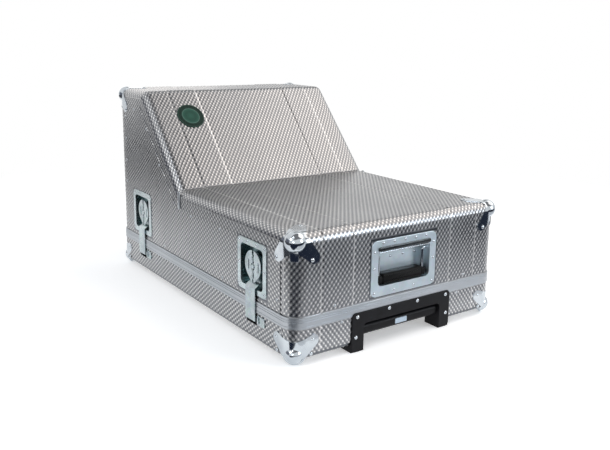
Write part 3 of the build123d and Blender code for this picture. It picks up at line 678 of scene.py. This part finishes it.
def thicken(bm, side):    # the cut edge of the side sheet, down to the flange below it
    rims = [e for e in bm.edges if e.is_boundary]
    grown = bmesh.ops.extrude_edge_only(bm, edges=rims)
    low = [g for g in grown["geom"] if isinstance(g, bmesh.types.BMVert)]
    level = side * (sideFace - panelFacts["thickness"]) * mm
    for vertex in low:
        vertex.co.x = level


for side, label in ((-1, "left"), (1, "right")):
    flange = sidePanel(side, halfWidth, edgeRadius, panelFacts["flangeTo"], uprightRadius)
    for vertex in flange.verts:    # level where it meets the rolled edge
        if vertex.is_boundary:
            vertex.co.x = side * halfWidth * mm
    keep(flange, "wrapFlange" + label.capitalize(), "lid", "sheet")
    plate = sidePanel(side, sideFace, panelFacts["plateInset"], None, panelFacts["plateInset"])
    thicken(plate, side)
    keep(plate, "sideSheet" + label.capitalize(), "lid", "sheet", ["lid_side_sheet_" + label])
print("side sheets made")


# Skin of the base: an end sheet takes both round corners with it, a side sheet lies between them
baseFacts = {    # mm, columns and steps; then the opening for the trolley, for the wheels and for each hasp
    "halfWidth": 274.0, "top": 76.0, "under": 26.0, "groove": 20.0, "grooveDepth": 0.7,
    "endColumns": 188, "foldSteps": 4, "trolleyHalfX": 107.0, "trolleyTop": 62.0,
    "wheelX": 190.0, "wheelHalfX": 18.0, "slotHalfY": 20.0, "slotZ": 53.0, "slotHalfZ": 6.0,
}
nearlyFlat = 0.99    # share of a normal that points straight out


def endPath(side):    # (x, y, normalX, normalY) across the front or rear wall
    halfX, halfY, radius = baseFacts["halfWidth"], side * halfDepth, uprightRadius
    steps = round(radius * pi / 2 / dimpleFacts["short"])
    columns = baseFacts["endColumns"]
    corner = []
    for n in range(steps + 1):
        angle = pi / 2 * n / steps
        corner.append((halfX - radius * (1 - cos(angle)), halfY - side * radius * (1 - sin(angle)),
                       cos(angle), side * sin(angle)))
    mirrored = [(-x, y, -normalX, normalY) for x, y, normalX, normalY in corner[:-1]]
    flat = [((halfX - radius) * (2 * n / columns - 1), halfY, 0.0, side) for n in range(columns)]
    return mirrored + flat + corner[::-1]


def sidePath(side):
    reach = halfDepth - uprightRadius
    count = round(2 * reach / dimpleFacts["sideLong"])
    return [(side * baseFacts["halfWidth"], reach * (2 * n / count - 1), side, 0.0) for n in range(count + 1)]


def baseDown(step):    # (inset, z, outward share, down share), down the wall, round the fold and under
    bottom, radius, steps = caseFacts["floorGap"], caseFacts["bottomRadius"], baseFacts["foldSteps"]
    wall = baseFacts["top"] - bottom - radius
    below = baseFacts["under"] - radius
    count = round(wall / step)
    samples = [(0.0, baseFacts["top"] - wall * n / count, 1.0, 0.0) for n in range(count)]
    for n in range(steps):
        angle = pi / 2 * n / steps
        samples.append((radius * (1 - cos(angle)), bottom + radius * (1 - sin(angle)),
                        cos(angle), -sin(angle)))
    count = round(below / step)
    samples += [(radius + below * n / count, bottom, 0.0, -1.0) for n in range(count + 1)]
    return samples


def baseHole(centre):
    x, y, z = caseMm(centre)
    facts = baseFacts
    if y < 0 and abs(x) < facts["trolleyHalfX"] and z < facts["trolleyTop"]:
        return True
    if y > 0 and abs(abs(x) - facts["wheelX"]) < facts["wheelHalfX"]:
        return True
    slot = abs(abs(y) - latchFacts["y"]) < facts["slotHalfY"] and abs(z - facts["slotZ"]) < facts["slotHalfZ"]
    return slot and abs(x) > facts["halfWidth"] - onWall


def baseSheet(name, around, step, replaced=()):
    down = baseDown(step)

    def shape(i, j):
        x, y, normalX, normalY = around[i]
        inset, z, out, fall = down[j]
        endWall = abs(normalY) > nearlyFlat and out > nearlyFlat
        rise, share = ribRise(x) if endWall else (0.0, 1.0)
        if abs(z - baseFacts["groove"]) < step / 2:
            # a real groove, painted dark as shade as well
            rise, share = -baseFacts["grooveDepth"], -1.0
        point = spot(x - normalX * (inset - rise), y - normalY * (inset - rise), z)
        return point, Vector((normalX * out, normalY * out, fall)), share
    skin = embossed(len(around) - 1, len(down) - 1, shape)
    slotFrom, slotTo = latchFacts["y"] - baseFacts["slotHalfY"], latchFacts["y"] + baseFacts["slotHalfY"]
    for y in (-slotTo, -slotFrom, slotFrom, slotTo):
        scored(skin, spot(0, y, 0), Vector((0, 1, 0)))
    for z in (baseFacts["slotZ"] - baseFacts["slotHalfZ"], baseFacts["slotZ"] + baseFacts["slotHalfZ"]):
        scored(skin, spot(0, 0, z), Vector((0, 0, 1)))
    gone = [f for f in skin.faces if baseHole(f.calc_center_median())]
    bmesh.ops.delete(skin, geom=gone, context="FACES")
    keep(skin, name, "base", "sheet", replaced)


baseSheet("baseSheetFront", endPath(-1), dimpleFacts["long"], ["base_skin"])
baseSheet("baseSheetRear", endPath(1), dimpleFacts["long"])
baseSheet("baseSheetLeft", sidePath(-1), dimpleFacts["short"])
baseSheet("baseSheetRight", sidePath(1), dimpleFacts["short"])
print("base sheets made")


# Rivets
rivetFacts = {    # mm: a head, the plate under it, then radii of the heads and places of the rows
    "radius": 3.6, "rise": 1.6, "seat": 1.5, "around": 12, "rings": 6, "cutBelow": -0.3,
    "lidCornerRadius": 4.2, "baseCornerRadius": 4.0, "dishRadius": 3.4, "stopRadius": 2.8,
    "frameRadius": 4.0, "rimRadius": 3.4,
    "sheet": [(-5, 211), (-140, 211), (162, 303), (234, 382), (367, 402), (367, 345), (368, 288), (368, 231),
              (-363, 123), (368, 123), (310, 424), (-300, 211), (-5, 108), (140, 108), (-150, 108)],
    "lidCorner": {"sideY": 360, "endX": 230, "below": 52, "topX": 222, "topY": 363},
    "baseCornerSide": [(366, 24), (363, 50)], "baseCornerEnd": [(230, 23), (227, 50)],
    "latch": [(-48, 46), (48, 46), (-48, -46), (48, -46), (-49, 0), (49, 0), (-17, 48), (17, 48)],
    "handle": [(-58, 214), (-29, 214), (0, 214), (29, 214), (58, 214), (-79, 112), (-27, 112), (27, 112),
               (79, 112), (-80, 163), (-80, 197), (80, 163), (80, 197)],
    "stops": [(-51, 175), (-17, 175), (17, 175), (51, 175)], "stopFace": 390.0,
    "frame": [(121, 73.5), (38.7, 75.8), (124, 31.5)], "frameFace": 418.4,
    "lidRim": (176, 414.5, 108), "baseRim": (158, 414.8, 70),
}


def rivetRow(name, body, material, places, radius):    # places are (point, outward normal)
    bm = bmesh.new()
    rise = rivetFacts["rise"] * radius / rivetFacts["radius"]
    size = Matrix.Diagonal((radius * mm, radius * mm, rise * mm, 1.0))
    for point, normal in places:
        made = bmesh.ops.create_uvsphere(bm, u_segments=rivetFacts["around"], v_segments=rivetFacts["rings"],
                                         radius=1.0)
        low = [v for v in made["verts"] if v.co.z < rivetFacts["cutBelow"]]
        bmesh.ops.delete(bm, geom=low, context="VERTS")
        head = [v for v in made["verts"] if v.is_valid]
        turn = Vector((0, 0, 1)).rotation_difference(Vector(normal)).to_matrix().to_4x4()
        bmesh.ops.transform(bm, matrix=Matrix.Translation(point) @ turn @ size, verts=head)
    keep(bm, name, body, material)


def onSide(side, x, y, z):    # a place on the left or right, and the way it faces
    return spot(side * x, y, z), (side, 0, 0)


def onEnd(end, x, y, z):    # a place on the front or rear, and the way it faces
    return spot(x, end * y, z), (0, end, 0)


def rivets():
    facts = rivetFacts
    fitSide, fitEnd = sideFace + facts["seat"], halfDepth + facts["seat"]
    corner = facts["lidCorner"]
    sheet, lidCorner, baseCorner, latch, frame, lidRim, baseRim = ([] for n in range(7))
    for side in (-1, 1):
        sheet += [onSide(side, sideFace, y, z) for y, z in facts["sheet"]]
        for end, top in ((-1, lowTop), (1, highTop)):
            z = top - corner["below"]
            lidCorner.append(onSide(side, halfWidth + facts["seat"], end * corner["sideY"], z))
            lidCorner.append(onEnd(end, side * corner["endX"], fitEnd, z))
            above = spot(side * corner["topX"], end * corner["topY"], top + facts["seat"])
            lidCorner.append((above, (0, 0, 1)))
            baseCorner += [onSide(side, fitSide, end * y, z) for y, z in facts["baseCornerSide"]]
            baseCorner += [onEnd(end, side * x, fitEnd, z) for x, z in facts["baseCornerEnd"]]
            latch += [onSide(side, fitSide, end * latchFacts["y"] + y, latchFacts["z"] + z)
                      for y, z in facts["latch"]]
            x, y, z = facts["lidRim"]
            lidRim.append(onEnd(end, side * x, y, z))
            x, y, z = facts["baseRim"]
            baseRim.append(onEnd(end, side * x, y, z))
        frame += [onEnd(-1, side * x, facts["frameFace"], z) for x, z in facts["frame"]]
    handle = [onEnd(-1, x, fitEnd, z) for x, z in facts["handle"]]
    stops = [onEnd(-1, x, facts["stopFace"], z) for x, z in facts["stops"]]
    rivetRow("sideSheetRivets", "lid", "extrusion", sheet, facts["radius"])
    rivetRow("lidCornerRivets", "lid", "bright", lidCorner, facts["lidCornerRadius"])
    rivetRow("baseCornerRivets", "base", "bright", baseCorner, facts["baseCornerRadius"])
    rivetRow("latchDishRivets", "lid", "bright", latch, facts["dishRadius"])
    rivetRow("handleDishRivets", "lid", "bright", handle, facts["dishRadius"])
    rivetRow("handleStopRivets", "lid", "bright", stops, facts["stopRadius"])
    rivetRow("trolleyFrameRivets", "base", "bright", frame, facts["frameRadius"])
    rivetRow("lidRimRivets", "lid", "extrusion", lidRim, facts["rimRadius"])
    rivetRow("baseRimRivets", "base", "extrusion", baseRim, facts["rimRadius"])


rivets()
print("rivets made")


# Small fittings, each a rounded plate or bar
def rounded(bm, edges, radius, segments):    # radius in mm
    bmesh.ops.bevel(bm, geom=edges, offset=radius * mm, segments=segments, profile=0.5, affect="EDGES",
                    material=-1)


def roundedBlock(sizeU, sizeV, thickness, corner, edge):    # in mm, lying on z = 0
    bm = bmesh.new()
    thick = thickness * mm
    bmesh.ops.create_cube(bm, size=1.0)
    bmesh.ops.scale(bm, vec=(sizeU * mm, sizeV * mm, thick), verts=bm.verts)
    bmesh.ops.translate(bm, vec=(0, 0, thick / 2), verts=bm.verts)
    upright = [e for e in bm.edges if abs((e.verts[0].co - e.verts[1].co).z) > thick / 2]
    rounded(bm, upright, corner, 4)
    top = [e for e in bm.edges if all(v.co.z > thick / 2 for v in e.verts) and len(e.link_faces) == 2]
    rim = [e for e in top if min(f.normal.z for f in e.link_faces) < 0.5]    # where a wall starts
    rounded(bm, rim, edge, 2)
    return bm


def placed(bm, point, normal, onto):    # moves a block to its seat and adds it to another mesh
    outward, above = Vector(normal), Vector((0, 0, 1))
    turn = Matrix((above.cross(outward), above, outward)).transposed().to_4x4()
    bmesh.ops.transform(bm, matrix=Matrix.Translation(point) @ turn, verts=bm.verts)
    mesh = meshFrom(bm, "blockDraft")
    onto.from_mesh(mesh)
    bpy.data.meshes.remove(mesh)


fittingFacts = {    # mm: size across, up, thick, corner and edge, then the place x, y, z
    "lapTab": ((10.0, 42.0, 2.4, 2.5, 1.1), (273.2, 56, 236)),
    "strikeClip": ((28.0, 20.0, 1.6, 4.0, 0.5), (274.4, -35, 60)),    # y is from the latch
    "strikeBar": ((4.0, 14.0, 3.0, 1.6, 1.2), (275.6, -27, 60)),
    "cornerTab": ((17.0, 28.0, 2.6, 3.0, 0.8), (0.7, 0.7, -39)),    # inside the round corner, from the top
    "gripEnd": ((13.0, 16.0, 16.0, 4.0, 3.0), (58.5, -395, 135)),
    "hood": ((141.0, 9.0, 3.0, 3.0, 1.6), (0, -415.3, 202)),
    "lip": ((136.0, 3.0, 2.6, 1.2, 1.0), (0, -413.0, 194.5)),
    "gripMain": ((106.0, 21.0, 19.0, 3.0, 3.5), (0, -393.5, 136.5)),
    "gripLip": ((104.0, 3.4, 1.6, 1.0, 0.6), (0, -412.3, 129.5)),
}
forward = (0, -1, 0)
diagonal = cos(pi / 4)


def fit(name, normal, onto, side=1, fromY=0.0):
    size, (x, y, z) = fittingFacts[name]
    placed(roundedBlock(*size), spot(side * x, fromY + y, z), normal, onto)


def fitCorner(side, end, top, onto):    # under a ball corner, across the round upright
    size, (inX, inY, down) = fittingFacts["cornerTab"]
    cutOff = uprightRadius * (1 - diagonal)
    place = spot(side * (halfWidth - cutOff - inX), end * (halfDepth - cutOff - inY), top + down)
    placed(roundedBlock(*size), place, (side * diagonal, end * diagonal, 0), onto)


def fittings():
    tabs, clips, cornerTabs, hood, lip, grip = (bmesh.new() for n in range(6))
    for side in (-1, 1):
        fit("lapTab", (side, 0, 0), tabs, side)
        for y in (-latchFacts["y"], latchFacts["y"]):
            fit("strikeClip", (side, 0, 0), clips, side, y)
            fit("strikeBar", (side, 0, 0), clips, side, y)
        fitCorner(side, -1, lowTop, cornerTabs)
        fitCorner(side, 1, highTop, cornerTabs)
        fit("gripEnd", forward, grip, side)
    fit("hood", forward, hood)
    fit("lip", forward, lip)
    fit("gripMain", forward, grip)
    fit("gripLip", forward, grip)
    keep(tabs, "lapTabs", "lid", "extrusion")
    keep(clips, "strikeClips", "base", "zinc")
    keep(cornerTabs, "cornerTabs", "lid", "bright")
    # the hood carries painted shade in its colour
    keep(hood, "handleHood", "lid", "shadedHood")
    keep(lip, "handleLip", "lid", "bright")
    keep(grip, "gripMoulding", "carrying_handle", "rubber", ["handle_grip"])


fittings()
print("small fittings made")


# Foam pads of the lid, softly rounded
foamFacts = {    # mm: each pad's spans in x, y and z; an edge longer than longEdge is cut into more
    "pads": [((-239, 239), (-356, 38), (238.7, 250.7)), ((-264.7, -253), (-212, 212), (114, 227)),
             ((253, 264.7), (-212, 212), (114, 227))],
    "round": 3.6, "longEdge": 50.0, "cuts": 12,
}


def foamPads():
    bm = bmesh.new()
    for spans in foamFacts["pads"]:
        made = bmesh.ops.create_cube(bm, size=1.0)
        low, high = spot(*(span[0] for span in spans)), spot(*(span[1] for span in spans))
        pad = Matrix.Translation((low + high) / 2) @ Matrix.Diagonal((*(high - low), 1.0))
        bmesh.ops.transform(bm, matrix=pad, verts=made["verts"])
    rounded(bm, bm.edges[:], foamFacts["round"], 4)
    large = [e for e in bm.edges if e.calc_length() > foamFacts["longEdge"] * mm]
    bmesh.ops.subdivide_edges(bm, edges=large, cuts=foamFacts["cuts"], use_grid_fill=True)
    return bm


pads = keep(foamPads(), "lidFoamPads", "lid", "foam", ["lid_foam"])
print("foam made")


# Floor, light and camera
floorFacts = {    # the floor fades to white between these distances from the middle, in metres
    "matte": (0.88, 0.88, 0.88), "glow": 0.36, "fadeFrom": 1.0, "fadeTo": 1.9, "half": 30.0,
}


def backgroundRays(tree):    # camera, mirror and glass rays, which see the white background
    rays = tree.nodes.new("ShaderNodeLightPath")
    seen = combine(tree, "MAXIMUM", rays.outputs["Is Camera Ray"], rays.outputs["Is Glossy Ray"])
    return combine(tree, "MAXIMUM", seen, rays.outputs["Is Transmission Ray"])


def joinShaders(tree, kind, sources):
    node = tree.nodes.new(kind)
    fill(tree, node.inputs, sources)
    return node.outputs[0]


def floorMaterial():
    material, tree, output = bareMaterial("studioFloor")
    matte = tree.nodes.new("ShaderNodeBsdfDiffuse")
    matte.inputs["Color"].default_value = (*floorFacts["matte"], 1.0)
    near = tree.nodes.new("ShaderNodeEmission")
    white = tree.nodes.new("ShaderNodeEmission")
    seen = backgroundRays(tree)
    tree.links.new(combine(tree, "MULTIPLY", seen, floorFacts["glow"]), near.inputs["Strength"])
    both = joinShaders(tree, "ShaderNodeAddShader", (matte.outputs[0], near.outputs[0]))
    away = tree.nodes.new("ShaderNodeVectorMath")
    away.operation = "LENGTH"
    tree.links.new(tree.nodes.new("ShaderNodeTexCoord").outputs["Object"], away.inputs[0])
    fade = spread(tree, away.outputs["Value"], 0.0, 1.0, floorFacts["fadeFrom"], floorFacts["fadeTo"])
    share = combine(tree, "MULTIPLY", fade, seen)
    surface = joinShaders(tree, "ShaderNodeMixShader", (share, both, white.outputs[0]))
    tree.links.new(surface, output.inputs["Surface"])
    return material


def flatPanel(name, halfX, halfY, material):
    bm = bmesh.new()
    bmesh.ops.create_grid(bm, x_segments=2, y_segments=2, size=1.0)
    bmesh.ops.scale(bm, vec=(halfX, halfY, 1.0), verts=bm.verts)
    mesh = meshFrom(bm, name)
    mesh.materials.append(material)
    panel = added(name, mesh)
    return panel


def aimed(thing, place, aim):
    thing.location = place
    thing.rotation_euler = (Vector(aim) - Vector(place)).to_track_quat("-Z", "Y").to_euler()


flagFacts = {    # cards that only the metal sees: middle, aim, half width and height in metres, colour
    "frontMat": ((1.0, -1.66, 0.003), (1.0, -1.66, 1.0), 2.8, 0.84, (0.024, 0.032, 0.050)),
    "cornerMat": ((-1.0, -1.60, 0.005), (-1.0, -1.60, 1.0), 1.2, 0.88, (0.020, 0.026, 0.045)),
    "nearMat": ((-1.29, -0.80, 0.007), (-1.29, -0.80, 1.0), 0.97, 0.38, (0.020, 0.026, 0.045)),
    "leftScreen": ((-3.1, 1.5, 0.75), (0.0, 0.0, 0.3), 1.7, 0.75, (0.20, 0.21, 0.25)),
    "leftMat": ((-2.27, 1.2, 0.003), (-2.27, 1.2, 1.0), 1.5, 2.2, (0.075, 0.078, 0.088)),
    "frontNearMat": ((0.70, -0.66, 0.009), (0.70, -0.66, 1.0), 1.0, 0.16, (0.78, 0.79, 0.82)),
    "canopy": ((0.4, -2.45, 3.7), (0.4, -2.45, 0.0), 4.2, 2.5, (0.26, 0.255, 0.26)),
    "ridgeCard": ((2.4, 2.1, 3.7), (2.4, 2.1, 0.0), 1.8, 0.8, (0.36, 0.35, 0.34)),
}


def makeFlags():
    for name, (middle, aim, halfX, halfY, colour) in flagFacts.items():
        material, tree, output = bareMaterial(name)
        tone = tree.nodes.new("ShaderNodeEmission")
        tone.inputs["Color"].default_value = (*colour, 1.0)
        tree.links.new(tone.outputs[0], output.inputs["Surface"])
        panel = flatPanel(name, halfX, halfY, material)
        aimed(panel, middle, aim)
        panel.visible_camera = False
        panel.visible_diffuse = False
        panel.visible_shadow = False


lightFacts = {    # softboxes: place, aim, size in metres, watts and colour
    "keyAbove": ((2.2, -1.0, 2.95), (0.1, 0.1, 0.3), 3.7, 54.0, (1.0, 0.93, 0.87)),
    "frontFill": ((1.7, -3.0, 0.95), (0.0, -0.3, 0.2), 1.4, 31.0, (0.82, 0.91, 1.0)),
    "edgeSpark": ((-1.9, -1.1, 2.9), (-0.2, 0.0, 0.3), 0.7, 9.0, (0.92, 0.96, 1.0)),
    "cornerFill": ((-2.3, -2.0, 0.7), (-0.2, -0.3, 0.2), 0.6, 8.0, (0.88, 0.94, 1.0)),
    "leftFill": ((-3.0, -0.6, 2.0), (0.0, 0.0, 0.2), 1.4, 16.0, (0.97, 0.99, 1.0)),
    "rearFill": ((0.3, 3.2, 0.9), (0.0, 0.2, 0.4), 2.4, 9.0, (1.0, 0.94, 0.90)),
}
worldFacts = {"ambient": 0.62, "ambientColour": (0.95, 0.97, 1.0)}


def makeLight():
    for name, (place, aim, size, watts, colour) in lightFacts.items():
        lamp = bpy.data.lights.new(name, "AREA")
        lamp.shape = "DISK"
        lamp.size = size
        lamp.energy = watts
        lamp.color = colour
        aimed(added(name, lamp), place, aim)
    world = bpy.data.worlds.new("studioWorld")
    bpy.context.scene.world = world
    world.use_nodes = True
    tree = world.node_tree
    tree.nodes.clear()
    output = tree.nodes.new("ShaderNodeOutputWorld")
    ambient = tree.nodes.new("ShaderNodeBackground")
    ambient.inputs["Color"].default_value = (*worldFacts["ambientColour"], 1.0)
    ambient.inputs["Strength"].default_value = worldFacts["ambient"]
    white = tree.nodes.new("ShaderNodeBackground")
    white.inputs["Color"].default_value = (1.0, 1.0, 1.0, 1.0)
    sources = (backgroundRays(tree), ambient.outputs[0], white.outputs[0])
    tree.links.new(joinShaders(tree, "ShaderNodeMixShader", sources), output.inputs["Surface"])


cameraFacts = {    # fitted to the photograph's view: place in mm, turns in radians, the rest in pixels
    "place": (-981.9, -1458.4, 602.4), "heading": 0.62683, "down": 0.20649, "roll": 0.01697,
    "focal": 728.64, "width": 610.0, "height": 450.0, "axisX": 315.46, "axisY": 193.24,
    "sensor": 36.0,    # mm
}


def makeCamera():
    facts = cameraFacts
    heading, down, roll = facts["heading"], facts["down"], facts["roll"]
    ahead = Vector((sin(heading) * cos(down), cos(heading) * cos(down), -sin(down)))
    right = Vector((cos(heading), -sin(heading), 0))
    up = right.cross(ahead)
    turnedRight = right * cos(roll) + up * sin(roll)
    turnedUp = up * cos(roll) - right * sin(roll)
    lens = bpy.data.cameras.new("photoCamera")
    lens.sensor_width = facts["sensor"]
    lens.lens = facts["focal"] * facts["sensor"] / facts["width"]
    lens.shift_x = (facts["width"] / 2 - facts["axisX"]) / facts["width"]
    lens.shift_y = (facts["axisY"] - facts["height"] / 2) / facts["width"]
    camera = added("photoCamera", lens)
    turn = Matrix((turnedRight, turnedUp, -ahead)).transposed().to_4x4()
    camera.matrix_world = Matrix.Translation(spot(*facts["place"])) @ turn
    bpy.context.scene.camera = camera


flatPanel("studioFloor", floorFacts["half"], floorFacts["half"], floorMaterial())
makeFlags()
makeLight()
makeCamera()
bpy.context.scene.view_settings.view_transform = "Standard"
print("stage made")
